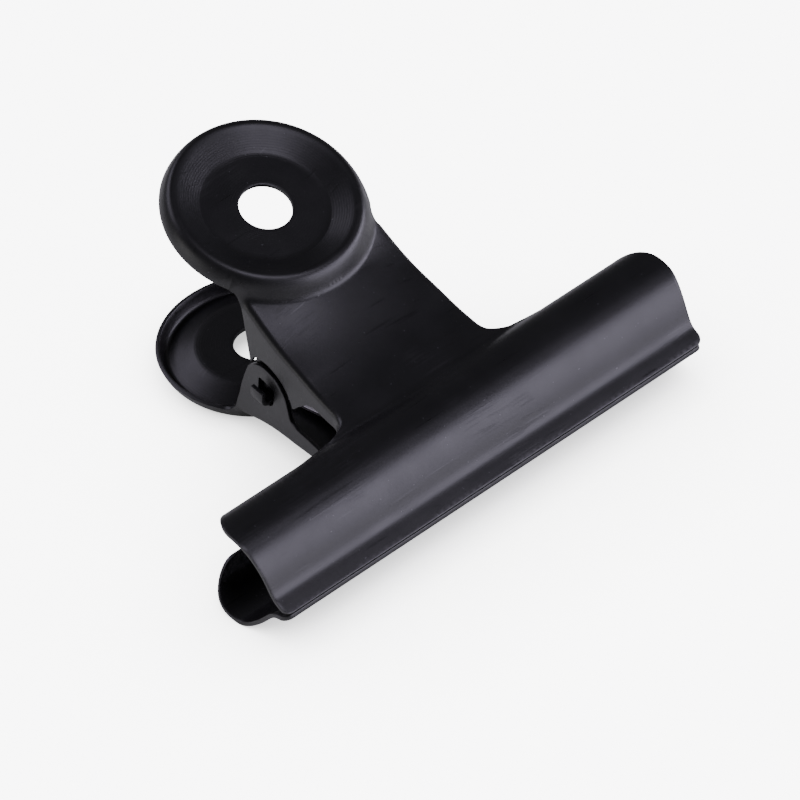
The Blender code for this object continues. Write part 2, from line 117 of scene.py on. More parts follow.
MESH_STEP = 0.55             # spacing of the points that carry the sheet's surface
ROLL_ROWS = 12               # rows of points over the neck's rolled side
FLANGE_ROWS = 10             # and down its flange
RING_POINTS = 144            # points round the thumb disc
RING_STEP = 0.22             # spacing of its rings, from its flat outwards
HOLE_POINTS = 72             # points round the hanging hole
ARC_POINTS = 14              # points round a corner of the outline
SPRING_BEND_STEPS = 48       # steps round the spring's bend


# ---- heights of the stamped surface --------------------------------------------------
# The jaw's outer surface, as (y, height), from the lip over the arch to its back edge.
JAW_PROFILE = [(0.0, LIP_HEIGHT), (1.2, 1.25), (2.2, 1.68), (2.9, 2.35), (3.8, 3.7),
               (4.8, 5.1), (6.2, 6.65), (7.8, 7.75), (CREST_Y, CREST_HEIGHT), (11.5, 7.98),
               (13.2, 7.55), (14.6, 6.75), (15.5, 5.7), (JAW_BACK_Y, 4.6)]
JAW_END_SLOPE = -1.9         # the arch's slope past its back edge

# The disc's, as (radius, height above its flat), from the flat over the bead to its edge.
DISC_PROFILE = [(FLAT_RADIUS, 0.0), (8.9, 0.02), (9.15, 0.13), (11.4, 1.2), (12.1, 1.52),
                (12.6, 1.64), (13.1, 1.55), (13.6, 1.15), (14.0, 0.55), (14.35, -0.15),
                (DISC_RADIUS, -0.8)]
DISC_END_SLOPE = -1.9        # the skirt's slope past that edge

NECK_MERGE_Y = 12.0          # past this, the neck's surface is merged with the jaw's
NECK_MERGE_RADIUS = 0.5      # rounding of the crease between them
DISC_MERGE_REACH = 3.0       # how far past the disc's edge it is merged with the neck
DISC_MERGE_RADIUS = 0.7
DISC_OWN_RADIUS = 11.5       # inside this, only the disc's own surface counts


def curve_value(points, end_slope, t):
    """Smooth curve through points (t ascending), straight past its end."""
    if t <= points[0][0]:
        return points[0][1]
    if t >= points[-1][0]:
        return points[-1][1] + end_slope * (t - points[-1][0])
    slopes = []
    for index, (position, value) in enumerate(points):
        before = points[max(index - 1, 0)]
        after = points[min(index + 1, len(points) - 1)]
        slopes.append((after[1] - before[1]) / (after[0] - before[0]))
    for index in range(len(points) - 1):
        (t0, v0), (t1, v1) = points[index], points[index + 1]
        if t <= t1:
            span = t1 - t0
            s = (t - t0) / span
            return ((2 * s ** 3 - 3 * s ** 2 + 1) * v0
                    + (s ** 3 - 2 * s ** 2 + s) * span * slopes[index]
                    + (3 * s ** 2 - 2 * s ** 3) * v1
                    + (s ** 3 - s ** 2) * span * slopes[index + 1])
    return points[-1][1]


def smooth_max(a, b, radius):
    """The larger of two heights, rounded where they cross."""
    overlap = max(radius - abs(a - b), 0.0) / radius
    return max(a, b) + overlap * overlap * radius / 4.0


def blend(a, b, start, end, t):
    """From a at start to b at end, easing in and out, and constant past them."""
    s = min(max((t - start) / (end - start), 0.0), 1.0)
    s = s * s * (3.0 - 2.0 * s)
    return a + (b - a) * s


def neck_centre_height(y):
    """Outer surface of the neck on the centre line: it climbs from the jaw to the disc."""
    start, bend, straight, flat = 14.6, 20.0, 32.0, 38.0
    slope_low, slope_high, start_height = 0.06, 0.44, 6.85
    slope_under_jaw = 1.5
    if y < start:
        return start_height - slope_under_jaw * (start - y)
    height = start_height + slope_low * (min(y, flat) - start)
    rise = (slope_high - slope_low) / (straight - bend)
    curved = min(max(y - bend, 0.0), straight - bend)
    height += 0.5 * rise * curved ** 2
    height += (slope_high - slope_low) * max(min(y, flat) - straight, 0.0)
    return height


def neck_half_width(y):
    return NECK_HALF + NECK_TAPER * max(NECK_TAPER_END_Y - y, 0.0)


def neck_height(x, y):
    """Domed top of the neck, without the roll along its sides."""
    dome = blend(0.75, 1.75, 25.0, 35.0, y)
    return neck_centre_height(y) - dome * (x / (neck_half_width(y) - FOLD_RADIUS)) ** 2


def disc_plane(y):
    return DISC_HEIGHT + math.tan(DISC_TILT) * (y - DISC_Y)


def surface_height(x, y):
    """Outer surface of a lever above the mid-plane."""
    height = curve_value(JAW_PROFILE, JAW_END_SLOPE, y)
    if y > NECK_MERGE_Y:
        height = smooth_max(height, neck_height(x, y), NECK_MERGE_RADIUS)
    radius = math.hypot(x, y - DISC_Y)
    if radius < DISC_RADIUS + DISC_MERGE_REACH:
        disc = disc_plane(y) + curve_value(DISC_PROFILE, DISC_END_SLOPE, radius)
        if radius < DISC_OWN_RADIUS:
            height = disc
        else:
            height = smooth_max(height, disc, DISC_MERGE_RADIUS)
    return height


# ---- plan outline --------------------------------------------------------------------
def arc_points(centre, radius, start_deg, end_deg, count):
    """Points of an arc, without its first one."""
    points = []
    for index in range(1, count + 1):
        angle = math.radians(start_deg + (end_deg - start_deg) * index / count)
        points.append((centre[0] + radius * math.cos(angle),
                       centre[1] + radius * math.sin(angle)))
    return points


def line_points(start, end, step):
    """Points of a straight run, without its first one."""
    count = max(1, round(math.dist(start, end) / step))
    return [(start[0] + (end[0] - start[0]) * i / count,
             start[1] + (end[1] - start[1]) * i / count)
            for i in range(1, count + 1)]


def jaw_end_x(y):
    return JAW_WIDTH / 2 + blend(0.0, JAW_FLARE, 2.0, 9.0, y)


def neck_disc_fillet():
    """Centre of the concave fillet that joins the neck's side to the disc."""
    x = NECK_HALF + NECK_FILLET
    drop = math.sqrt((DISC_RADIUS + NECK_FILLET) ** 2 - x ** 2)
    return (x, DISC_Y - drop)


def half_outline(step, arc_count):
    """Right half of the blank's outline, from the lip's middle round to the disc's top."""
    points = [(0.0, 0.0)]
    corner = (JAW_WIDTH / 2 - FRONT_CORNER, FRONT_CORNER)
    points += line_points(points[-1], (corner[0], 0.0), step * 2)
    points += arc_points(corner, FRONT_CORNER, -90, 0, arc_count // 2)
    back_start = JAW_BACK_Y - BACK_CORNER
    count = round((back_start - FRONT_CORNER) / (0.7 * step))
    for index in range(1, count + 1):
        y = FRONT_CORNER + (back_start - FRONT_CORNER) * index / count
        points.append((jaw_end_x(y), y))
    back = (jaw_end_x(back_start) - BACK_CORNER, back_start)
    points += arc_points(back, BACK_CORNER, 0, 90, arc_count)
    fillet_y = JAW_BACK_Y + JAW_FILLET
    fillet = (neck_half_width(fillet_y) + JAW_FILLET, fillet_y)
    points += line_points(points[-1], (fillet[0], JAW_BACK_Y), step * 1.5)
    points += arc_points(fillet, JAW_FILLET, 270, 180, arc_count)
    disc_fillet = neck_disc_fillet()
    # The outline needs a point wherever the edge of either lever's flange turns.
    flange_corners = [24.7, 26.4, 27.1, 27.5, 28.0, 28.5, PIVOT_Y, 35.9, 36.6, 37.1]
    for y in flange_corners + [disc_fillet[1]]:
        points += line_points(points[-1], (neck_half_width(y), y), 0.55 * step)
    touch = math.degrees(math.atan2(disc_fillet[1] - DISC_Y, disc_fillet[0]))
    points += arc_points(disc_fillet, NECK_FILLET, 180, 180 + touch, arc_count // 2)
    points += arc_points((0.0, DISC_Y), DISC_RADIUS, touch, 90, arc_count * 4)
    return points


def roll_radius(x, y):
    """Radius of the roll along the neck's side; it fades out at the jaw and at the skirt."""
    if y < JAW_BACK_Y or abs(x) > neck_half_width(JAW_BACK_Y) + JAW_FILLET + 0.1:
        return 0.0
    return (FOLD_RADIUS * blend(0.0, 1.0, JAW_BACK_Y, FOLD_FULL_Y, y)
            * blend(1.0, 0.0, *FOLD_FADE, y))


def rim_stations(half):
    """Outline points all round the blank, each with its outward normal and roll radius."""
    right = []
    for index, (x, y) in enumerate(half):
        before, after = half[max(index - 1, 0)], half[min(index + 1, len(half) - 1)]
        length = math.dist(before, after)
        normal = ((after[1] - before[1]) / length, (before[0] - after[0]) / length)
        right.append((x, y, normal[0], normal[1], roll_radius(x, y)))
    left = [(-x, y, -nx, ny, roll) for x, y, nx, ny, roll in reversed(right[1:])]
    return right[:-1] + left


def inset_x_at(y):
    """Half width of the neck between its rolls."""
    best = neck_half_width(y)
    if y < JAW_BACK_Y + JAW_FILLET:
        reach = JAW_FILLET ** 2 - (JAW_BACK_Y + JAW_FILLET - y) ** 2
        best += JAW_FILLET - math.sqrt(max(reach, 0.0))
    return best - roll_radius(best, y)


# ---- flange depth below the rolled edge ----------------------------------------------
def interpolate(points, t):
    """Height on the straight lines through points, or None past their ends."""
    for (t0, v0), (t1, v1) in zip(points, points[1:]):
        if t0 <= t <= t1:
            return v0 + (v1 - v0) * (t - t0) / (t1 - t0)
    return None


def upper_flange_edge(y):
    """Lower edge of the upper lever's flange: a short drop, then the relief for the ear."""
    arch_start, arch_end = 27.5, 35.9
    if y < arch_start:
        return interpolate([(JAW_BACK_Y, 4.6), (17.6, 3.9), (19.4, 3.6), (23.3, 3.6),
                            (24.7, 2.9), (26.4, 0.9), (27.1, -0.1), (arch_start, -0.2)], y)
    if y < arch_end:
        return PIVOT_Z + math.sqrt(ARCH_RADIUS ** 2 - (y - PIVOT_Y) ** 2)
    return interpolate([(arch_end, 2.71), (36.6, 1.05), (37.1, 2.9), (REAR_EDGE_TOP, 12.0)], y)


def lower_flange_edge(y):
    """The same edge on the lower lever, mirrored, with the round ear standing up from it."""
    ear_start, ear_end = PIVOT_Y - EAR_RADIUS + 0.15, 37.0
    if y < ear_start:
        return interpolate([(JAW_BACK_Y, 4.6), (17.6, 3.9), (19.4, 3.6), (26.4, 3.7),
                            (27.5, 3.4), (28.0, 2.9), (ear_start, 1.4)], y)
    if y < ear_end:
        return -(PIVOT_Z + math.sqrt(EAR_RADIUS ** 2 - (y - PIVOT_Y) ** 2))
    return interpolate([(ear_end, -0.2), (37.6, 1.7), (38.3, 4.6), (38.7, 7.2), (39.1, 8.6),
                        (REAR_EDGE_TOP, 12.0)], y)


# ---- lever stamping ------------------------------------------------------------------
def jaw_points():
    """Rows across the jaw, closer together over the lip than on the arch."""
    lip_end_y = 5.0
    points = []
    y = 0.35
    while y < JAW_BACK_Y - 0.3:
        limit = jaw_end_x(y) - 0.5
        into_corner = y - (JAW_BACK_Y - BACK_CORNER)
        if into_corner > 0.0:
            limit -= BACK_CORNER - math.sqrt(BACK_CORNER ** 2 - into_corner ** 2)
        count = round(2.0 * limit / (2.2 * MESH_STEP))
        points += [(-limit + 2 * limit * i / count, y) for i in range(count + 1)]
        y += (0.65 if y < lip_end_y else 0.9) * MESH_STEP
    return points


def neck_points():
    """Rows across the neck, between its rolled sides."""
    points = []
    y = JAW_BACK_Y + 0.25
    while y < DISC_Y - DISC_RADIUS:
        limit = inset_x_at(y) - 0.5 * MESH_STEP
        count = round(2.0 * limit / (1.1 * MESH_STEP))
        points += [(-limit + 2 * limit * i / count, y) for i in range(count + 1)]
        y += 0.7 * MESH_STEP
    return points


def disc_points():
    """Rings of the thumb disc, close together over its bead and skirt."""
    radii = [HANG_HOLE_RADIUS + 0.5, 5.2, 6.2, 7.2, 8.1]
    radius = FLAT_RADIUS
    while radius < DISC_RADIUS + 0.6:
        radii.append(radius)
        radius += RING_STEP
    neck_side = DISC_Y - 6.0
    points = []
    for radius in radii:
        for index in range(RING_POINTS):
            angle = 2.0 * math.pi * index / RING_POINTS
            x, y = radius * math.cos(angle), DISC_Y + radius * math.sin(angle)
            inside_neck = y < neck_side and abs(x) < inset_x_at(y) - 0.25
            if inside_neck or (y > neck_side and radius < DISC_RADIUS - 0.15):
                points.append((x, y))
    return points


def blank_mesh(stations):
    """Flat blank between the rolls: points and triangles, with the hanging hole open."""
    loop = [(x - nx * roll, y - ny * roll) for x, y, nx, ny, roll in stations]
    hole = [(HANG_HOLE_RADIUS * math.cos(2 * math.pi * i / HOLE_POINTS),
             DISC_Y + HANG_HOLE_RADIUS * math.sin(2 * math.pi * i / HOLE_POINTS))
            for i in range(HOLE_POINTS)]
    edges = [(i, (i + 1) % len(loop)) for i in range(len(loop))]
    start = len(loop)
    edges += [(start + i, start + (i + 1) % len(hole)) for i in range(len(hole))]
    coords = [Vector(p) for p in loop + hole + jaw_points() + neck_points() + disc_points()]
    inside_only, merge_distance = 1, 1e-4
    points, _, faces, sources, *_ = delaunay_2d_cdt(coords, edges, [], inside_only, merge_distance)
    kept = []
    for face in faces:
        centre = sum((points[i] for i in face), Vector((0.0, 0.0))) / len(face)
        if math.hypot(centre.x, centre.y - DISC_Y) > HANG_HOLE_RADIUS:
            kept.append(tuple(face))
    index_of = {source: new for new, group in enumerate(sources) for source in group}
    loop_index = [index_of[i] for i in range(len(loop))]
    return points, kept, loop_index


def make_lever(name, flange_edge, side):
    """One stamping. side is +1 for the upper lever and -1 for its mirror image below."""
    stations = rim_stations(half_outline(MESH_STEP, ARC_POINTS))
    points, faces, loop = blank_mesh(stations)
    bm = bmesh.new()
    verts = {}
    for index in sorted({i for face in faces for i in face}):
        x, y = points[index]
        verts[index] = bm.verts.new((x, y, side * surface_height(x, y)))
    for face in faces:
        bm.faces.new([verts[i] for i in face])
    add_flanges(bm, stations, [verts[i] for i in loop], flange_edge, side)
    bmesh.ops.recalc_face_normals(bm, faces=bm.faces)
    flat_y = DISC_Y + 6.0
    flat = max(bm.faces,
               key=lambda face: abs(face.normal.z) - abs(face.calc_center_median().y - flat_y))
    if flat.normal.z * side < 0.0:
        bmesh.ops.reverse_faces(bm, faces=bm.faces)
    return linked_object(name, bm)


def linked_object(name, bm):
    """New object of the scene, made from a mesh under construction."""
    mesh = bpy.data.meshes.new(name)
    bm.to_mesh(mesh)
    bm.free()
    made = bpy.data.objects.new(name, mesh)
    bpy.context.collection.objects.link(made)
    return made


def thicken(lever):
    """Sheet thickness, inwards from the outer surface."""
    thickness = lever.modifiers.new("sheet_thickness", "SOLIDIFY")
    thickness.thickness = SHEET
    thickness.offset = -1.0


def soften_edges(piece, width):
    """Rounds sharp edges; the rounded faces take the second slot's material."""
    bevel = piece.modifiers.new("soft_edges", "BEVEL")
    bevel.width = width
    bevel.segments = 2
    bevel.limit_method = "ANGLE"
    bevel.angle_limit = EDGE_ANGLE
    bevel.use_clamp_overlap = False
    bevel.material = 1


def rim_column(bm, station, start, flange_edge, side):
    """Points from the blank's edge over the roll and down the flange, repeated where flat."""
    no_roll, no_flange = 0.02, 0.05
    x, y, nx, ny, roll = station
    column = [start]
    for row in range(1, ROLL_ROWS + 1):
        if roll < no_roll:
            column.append(start)
            continue
        angle = math.pi / 2 * row / ROLL_ROWS
        back = roll * (1.0 - math.sin(angle))
        px, py = x - nx * back, y - ny * back
        height = surface_height(px, py) - roll * (1.0 - math.cos(angle))
        column.append(bm.verts.new((px, py, side * height)))
    last = column[-1]
    top = side * last.co.z
    on_neck = JAW_BACK_Y + 0.05 < y < REAR_EDGE_TOP
    bottom = flange_edge(y) if on_neck else None
    for row in range(1, FLANGE_ROWS + 1):
        if bottom is None or bottom > top - no_flange:
            column.append(last)
        else:
            height = top + (bottom - top) * row / FLANGE_ROWS
            column.append(bm.verts.new((x, y, side * height)))
    return column


def add_flanges(bm, stations, loop, flange_edge, side):
    """Rolled sides of the neck and the vertical flanges under them."""
    columns = [rim_column(bm, station, vert, flange_edge, side)
               for station, vert in zip(stations, loop)]
    for first, second in zip(columns, columns[1:] + columns[:1]):
        for k in range(ROLL_ROWS + FLANGE_ROWS):
            ring = [first[k], second[k], second[k + 1], first[k + 1]]
            corners = [v for i, v in enumerate(ring) if v not in ring[:i]]
            if len(corners) > 2:
                bm.faces.new(corners)


def extruded(name, outline, shift):
    """Prism from a flat outline of 3-D points, drawn out along a vector."""
    bm = bmesh.new()
    face = bm.faces.new([bm.verts.new(point) for point in outline])
    far = bmesh.ops.extrude_face_region(bm, geom=[face])["geom"]
    far_verts = [item for item in far if isinstance(item, bmesh.types.BMVert)]
    bmesh.ops.translate(bm, vec=shift, verts=far_verts)
    bmesh.ops.recalc_face_normals(bm, faces=bm.faces)
    return linked_object(name, bm)


def extruded_along_x(name, outline, x_start, x_end):
    """Prism along X over an outline of (y, z) points."""
    start_face = [(x_start, y, z) for y, z in outline]
    return extruded(name, start_face, (x_end - x_start, 0.0, 0.0))


def ear_hole_outline():
    """Hole with a round bottom about the hinge axis and a flat top."""
    side = EAR_HOLE_HALF - EAR_HOLE_CORNER
    top = PIVOT_Z + EAR_HOLE_TOP - EAR_HOLE_CORNER
    points = arc_points((PIVOT_Y, PIVOT_Z), EAR_HOLE_HALF, 180, 360, 12)
    points += arc_points((PIVOT_Y + side, top), EAR_HOLE_CORNER, -22.5, 90, 5)
    points += arc_points((PIVOT_Y - side, top), EAR_HOLE_CORNER, 67.5, 180, 5)
    return points


def tab_outline():
    """Tab behind the ear: a round end under the hinge and a root above the relief."""
    top = PIVOT_Z + TAB_TOP
    points = arc_points((PIVOT_Y, PIVOT_Z), TAB_RADIUS, 200, 340, 10)
    return points + [(PIVOT_Y + TAB_HALF, top), (PIVOT_Y - TAB_HALF, top)]


def root_outline():
    """Where the tab is joined to the inside of the flange, just above the relief."""
    top = PIVOT_Z + TAB_TOP
    points = arc_points((PIVOT_Y, PIVOT_Z), ARCH_RADIUS + 0.25, 58, 122, 8)
    return points + [(PIVOT_Y - TAB_HALF, top), (PIVOT_Y + TAB_HALF, top)]


def tongue_outline(sign, root_x):
    """Scoop seen along Y: out of the tab, through the ear's hole, and bent up to a lip."""
    bend_x = neck_half_width(PIVOT_Y) + TONGUE_REACH - TONGUE_RADIUS
    bend_z = PIVOT_Z - TONGUE_DROP + TONGUE_RADIUS
    inner_radius = TONGUE_RADIUS - SHEET
    lip_top = bend_z + TONGUE_LIP
    outer = [(root_x, bend_z - TONGUE_RADIUS), (bend_x, bend_z - TONGUE_RADIUS)]
    outer += arc_points((bend_x, bend_z), TONGUE_RADIUS, -90, 0, 8)
    outer += [(bend_x + TONGUE_RADIUS, lip_top), (bend_x + inner_radius, lip_top)]
    inner = [(bend_x + inner_radius, bend_z)]
    inner += arc_points((bend_x, bend_z), inner_radius, 0, -90, 8)
    inner += [(root_x, bend_z - inner_radius)]
    return [(sign * x, PIVOT_Y - TONGUE_WIDTH / 2, z) for x, z in outer + inner]


def make_hinge_tabs():
    """Joggled tabs inside the upper lever's flanges, with the tongues that are its pivots.

    Each piece reaches a little way into the next one, so that no seam opens between them.
    """
    face = neck_half_width(PIVOT_Y)
    tab_outer = face - SHEET - TAB_GAP
    pieces = []
    for sign, label in ((1, "right"), (-1, "left")):
        pieces.append(extruded_along_x("tab_" + label, tab_outline(),
                                       sign * (tab_outer - SHEET), sign * tab_outer))
        pieces.append(extruded_along_x("tab_root_" + label, root_outline(),
                                       sign * (tab_outer - 0.2), sign * (face - 0.25)))
        pieces.append(extruded("tongue_" + label, tongue_outline(sign, tab_outer - 0.3),
                               (0.0, TONGUE_WIDTH, 0.0)))
    return pieces


def make_ear_hole_cutter():
    """Bar through both ears, with the outline of their holes."""
    reach = NECK_HALF + 4.0
    return extruded_along_x("ear_hole_cutter", ear_hole_outline(), -reach, reach)


# ---- leaf spring ---------------------------------------------------------------------
def make_spring():
    """Strip bent to a U round the hinge, its legs spreading under both necks."""
    first_angle = math.degrees(SPRING_LEG_ANGLE) + 90.0
    sweep = 360.0 - 2.0 * first_angle
    bend = []
    for index in range(SPRING_BEND_STEPS + 1):
        angle = math.radians(first_angle + sweep * index / SPRING_BEND_STEPS)
        bend.append((SPRING_BEND_Y + SPRING_BEND_RADIUS * math.cos(angle),
                     SPRING_BEND_RADIUS * math.sin(angle)))
    run = SPRING_LEG_END_Y - bend[0][0]
    tip = (SPRING_LEG_END_Y, bend[0][1] + run * math.tan(SPRING_LEG_ANGLE))
    toe = (tip[0] + SPRING_TOE[0], tip[1] + SPRING_TOE[1])
    path = [toe, tip] + bend + [(tip[0], -tip[1]), (toe[0], -toe[1])]
    bm = bmesh.new()
    rows = []
    for index, (y, z) in enumerate(path):
        before, after = path[max(index - 1, 0)], path[min(index + 1, len(path) - 1)]
        direction = Vector((after[0] - before[0], after[1] - before[1])).normalized()
        offset = Vector((-direction.y, direction.x)) * SPRING_STRIP / 2
        ring = []
        for x in (-SPRING_WIDTH / 2, SPRING_WIDTH / 2):
            for sign in (1, -1):
                ring.append(bm.verts.new((x, y + sign * offset.x, z + sign * offset.y)))
        rows.append([ring[0], ring[1], ring[3], ring[2]])
    for first, second in zip(rows, rows[1:]):
        for k in range(4):
            bm.faces.new((first[k], first[(k + 1) % 4], second[(k + 1) % 4], second[k]))
    bm.faces.new(rows[0])
    bm.faces.new(rows[-1])
    bmesh.ops.recalc_face_normals(bm, faces=bm.faces)
    return linked_object("spring_strip", bm)


# ---- materials -----------------------------------------------------------------------
# Noise and wave scales, per metre: the larger the number, the finer the feature. Depths
# of bumps are in metres.
GRAIN_SCALE = 5200.0
SPECK_SCALE = 2600.0
TOOTH_SCALE = 1500.0
PEEL_SCALE = 900.0
MOTTLE_SCALE = 160.0
TEMPER_SCALE = 120.0
PATCH_SCALE = 85.0
LINE_SCALE = 900.0           # gives concentric lines about 0.35 mm apart
LINES_END = (0.0112, 0.0132)         # radii, in metres, over which those lines fade out
FINE_DEPTH = 0.00002
PEEL_DEPTH = 0.00006
TOOTH_DEPTH = 0.0001

BLACK = ((0.0034, 0.0033, 0.0040), (0.0052, 0.0050, 0.0058))
RUBBED_BLACK = ((0.010, 0.010, 0.011), (0.055, 0.054, 0.056))
DUST = (0.11, 0.11, 0.12)
BARE_STEEL = ((0.36, 0.36, 0.38), (0.44, 0.42, 0.40))
PALE = ((0.80, 0.80, 0.80), (0.83, 0.83, 0.83))

FLOOR_WHITE = 8.0            # how bright the floor looks, and what it gives to reflections
FLOOR_BOUNCE = 0.35
# reach of the painted contact shadow: within it, ambient occlusion dims the floor's glow
PAINTED_SHADOW_REACH = 0.03

# Sockets of a colour Mix node, whose names repeat for every type of data.
MIX_FACTOR, MIX_A, MIX_B, MIX_RESULT = 0, 6, 7, 2


def set_inputs(node, values):
    for key, value in values.items():
        node.inputs[key].default_value = value


def add_node(tree, kind, inputs=None, **settings):
    """New shader node, with its settings and the values of its unlinked inputs."""
    node = tree.nodes.new(kind)
    for key, value in settings.items():
        setattr(node, key, value)
    set_inputs(node, inputs or {})
    return node


def mapped(tree, coords, **settings):
    """Coordinates that are moved, turned or scaled."""
    mapping = add_node(tree, "ShaderNodeMapping", settings)
    tree.links.new(coords, mapping.inputs["Vector"])
    return mapping.outputs["Vector"]


def noise(tree, coords, scale, detail=3.0, roughness=0.5):
    node = add_node(tree, "ShaderNodeTexNoise",
                    {"Scale": scale, "Detail": detail, "Roughness": roughness})
    tree.links.new(coords, node.inputs["Vector"])
    return node.outputs["Fac"]


def remap(tree, value, low, high, to_low, to_high):
    node = add_node(tree, "ShaderNodeMapRange",
                    {"From Min": low, "From Max": high, "To Min": to_low, "To Max": to_high})
    tree.links.new(value, node.inputs["Value"])
    return node.outputs["Result"]


def mix_colour(tree, factor, first, second):
    """Mix of two colours; the first can be a colour made by another node."""
    node = add_node(tree, "ShaderNodeMix", {MIX_B: (*second, 1.0)}, data_type="RGBA")
    if isinstance(first, tuple):
        node.inputs[MIX_A].default_value = (*first, 1.0)
    else:
        tree.links.new(first, node.inputs[MIX_A])
    tree.links.new(factor, node.inputs[MIX_FACTOR])
    return node.outputs[MIX_RESULT]


def combine_values(tree, operation, first, second):
    """Arithmetic on two values, each a number or the output of a node."""
    node = add_node(tree, "ShaderNodeMath", operation=operation)
    for socket, value in zip(node.inputs, (first, second)):
        if isinstance(value, float):
            socket.default_value = value
        else:
            tree.links.new(value, socket)
    return node.outputs[0]


def scratches(tree, coords, turn, scale, threshold):
    """Fine straight scratches: the rare high ridges of a strongly stretched noise."""
    stretched = mapped(tree, coords, Rotation=turn, Scale=(0.04, 1.0, 0.3))
    ridges = noise(tree, stretched, scale, 1.0)
    return remap(tree, ridges, threshold, threshold + 0.05, 0.0, 1.0)


def new_material(name):
    material = bpy.data.materials.new(name)
    material.use_nodes = True
    tree = material.node_tree
    shader = tree.nodes["Principled BSDF"]
    coords = add_node(tree, "ShaderNodeTexCoord").outputs["Object"]
    return material, tree, shader, coords


def link_bumps(tree, shader, layers):
    """Bumps in a chain, each given as (height, strength, distance in metres)."""
    normal = None
    for height, strength, distance in layers:
        bump = add_node(tree, "ShaderNodeBump", {"Strength": strength, "Distance": distance})
        tree.links.new(height, bump.inputs["Height"])
        if normal is not None:
            tree.links.new(normal, bump.inputs["Normal"])
        normal = bump.outputs["Normal"]
    tree.links.new(normal, shader.inputs["Normal"])


def turning_lines(tree, coords, centre):
    """Fine concentric lines round the middle of a thumb disc."""
    from_centre = mapped(tree, coords, Location=-centre)
    wave = add_node(tree, "ShaderNodeTexWave",
                    {"Scale": LINE_SCALE, "Distortion": 1.2, "Detail": 2.0, "Detail Scale": 0.6},
                    wave_type="RINGS", rings_direction="SPHERICAL")
    tree.links.new(from_centre, wave.inputs["Vector"])
    reach = add_node(tree, "ShaderNodeVectorMath", operation="LENGTH")
    tree.links.new(from_centre, reach.inputs[0])
    inside = remap(tree, reach.outputs["Value"], *LINES_END, 1.0, 0.0)
    return combine_values(tree, "MULTIPLY", wave.outputs["Fac"], inside)


def enamel_material(name, disc_centre, rubbed):
    """Satin black stoved enamel: grain, mottling, sparse scratches, scuff patches and dust."""
    material, tree, shader, coords = new_material(name)
    grain = noise(tree, coords, GRAIN_SCALE, 2.0)
    peel = noise(tree, coords, PEEL_SCALE)
    mottle = noise(tree, coords, MOTTLE_SCALE, 4.0, 0.6)
    marks = combine_values(tree, "MAXIMUM",
                           scratches(tree, coords, (0.3, 0.2, 0.5), 2300.0, 0.70),
                           scratches(tree, coords, (-0.4, 0.1, -0.8), 1900.0, 0.71))
    patches = remap(tree, noise(tree, coords, PATCH_SCALE, 2.0), 0.54, 0.70, 0.0, 1.0)
    scuffs = combine_values(tree, "MULTIPLY",
                            scratches(tree, coords, (0.0, 0.0, 1.45), 3800.0, 0.56), patches)
    specks = remap(tree, noise(tree, coords, SPECK_SCALE, 0.0), 0.83, 0.88, 0.0, 1.0)
    lines = turning_lines(tree, coords, disc_centre)

    if rubbed:
        base = mix_colour(tree, remap(tree, peel, 0.42, 0.62, 0.0, 1.0), *RUBBED_BLACK)
    else:
        base = mix_colour(tree, mottle, *BLACK)
    dusty = mix_colour(tree, combine_values(tree, "MULTIPLY", specks, 0.5), base, DUST)
    tree.links.new(dusty, shader.inputs["Base Color"])

    rough = remap(tree, mottle, 0.3, 0.7, 0.36, 0.43)
    rough = combine_values(tree, "SUBTRACT", rough, combine_values(tree, "MULTIPLY", marks, 0.10))
    rough = combine_values(tree, "ADD", rough, combine_values(tree, "MULTIPLY", scuffs, 0.12))
    tree.links.new(rough, shader.inputs["Roughness"])
    set_inputs(shader, {"Metallic": 0.0, "IOR": 1.58, "Specular IOR Level": 0.55,
                        "Coat Weight": 0.18, "Coat Roughness": 0.28})
    link_bumps(tree, shader, [(peel, 0.10, PEEL_DEPTH), (grain, 0.20, FINE_DEPTH),
                              (marks, 0.25, FINE_DEPTH), (scuffs, 0.30, FINE_DEPTH),
                              (lines, 0.30, FINE_DEPTH)])
    return material


def spring_material():
    """Bare tempered strip: rolled along its length, with faint blue-brown temper colour."""
    material, tree, shader, coords = new_material("spring_steel_strip")
    along_strip = mapped(tree, coords, Scale=(1.0, 0.05, 0.05))
    rolled = noise(tree, along_strip, 3000.0, 3.0, 0.6)
    temper = noise(tree, coords, TEMPER_SCALE, 2.0)
    tree.links.new(mix_colour(tree, temper, *BARE_STEEL), shader.inputs["Base Color"])
    tree.links.new(remap(tree, rolled, 0.3, 0.7, 0.24, 0.40), shader.inputs["Roughness"])
    set_inputs(shader, {"Metallic": 1.0})
    link_bumps(tree, shader, [(rolled, 0.2, FINE_DEPTH)])
    return material


def floor_material():
    """Pale matt surface that glows, with a painted shadow where the clip is close to it: ambient
    occlusion dims its glow there.

    It is bright to the camera and dim to reflections, so that it looks white and the
    black enamel above it stays dark.
    """
    material, tree, shader, coords = new_material("pale_floor")
    tooth = noise(tree, coords, TOOTH_SCALE)
    tree.links.new(mix_colour(tree, tooth, *PALE), shader.inputs["Base Color"])
    seen = add_node(tree, "ShaderNodeLightPath").outputs["Is Camera Ray"]
    glow = remap(tree, seen, 0.0, 1.0, FLOOR_BOUNCE, FLOOR_WHITE)
    shade = add_node(tree, "ShaderNodeAmbientOcclusion", {"Distance": PAINTED_SHADOW_REACH}, samples=16)
    # painted shadow: the floor's glow is dimmed where ambient occlusion finds the clip close above
    # it
    painted_shadow_dimming = remap(tree, shade.outputs["AO"], 0.15, 1.0, 0.12, 1.0)
    tree.links.new(combine_values(tree, "MULTIPLY", glow, painted_shadow_dimming), shader.inputs["Emission Strength"])
    set_inputs(shader, {"Roughness": 0.8, "Specular IOR Level": 0.1,
                        "Emission Color": (1.0, 1.0, 1.0, 1.0)})
    link_bumps(tree, shader, [(tooth, 0.08, TOOTH_DEPTH)])
    return material


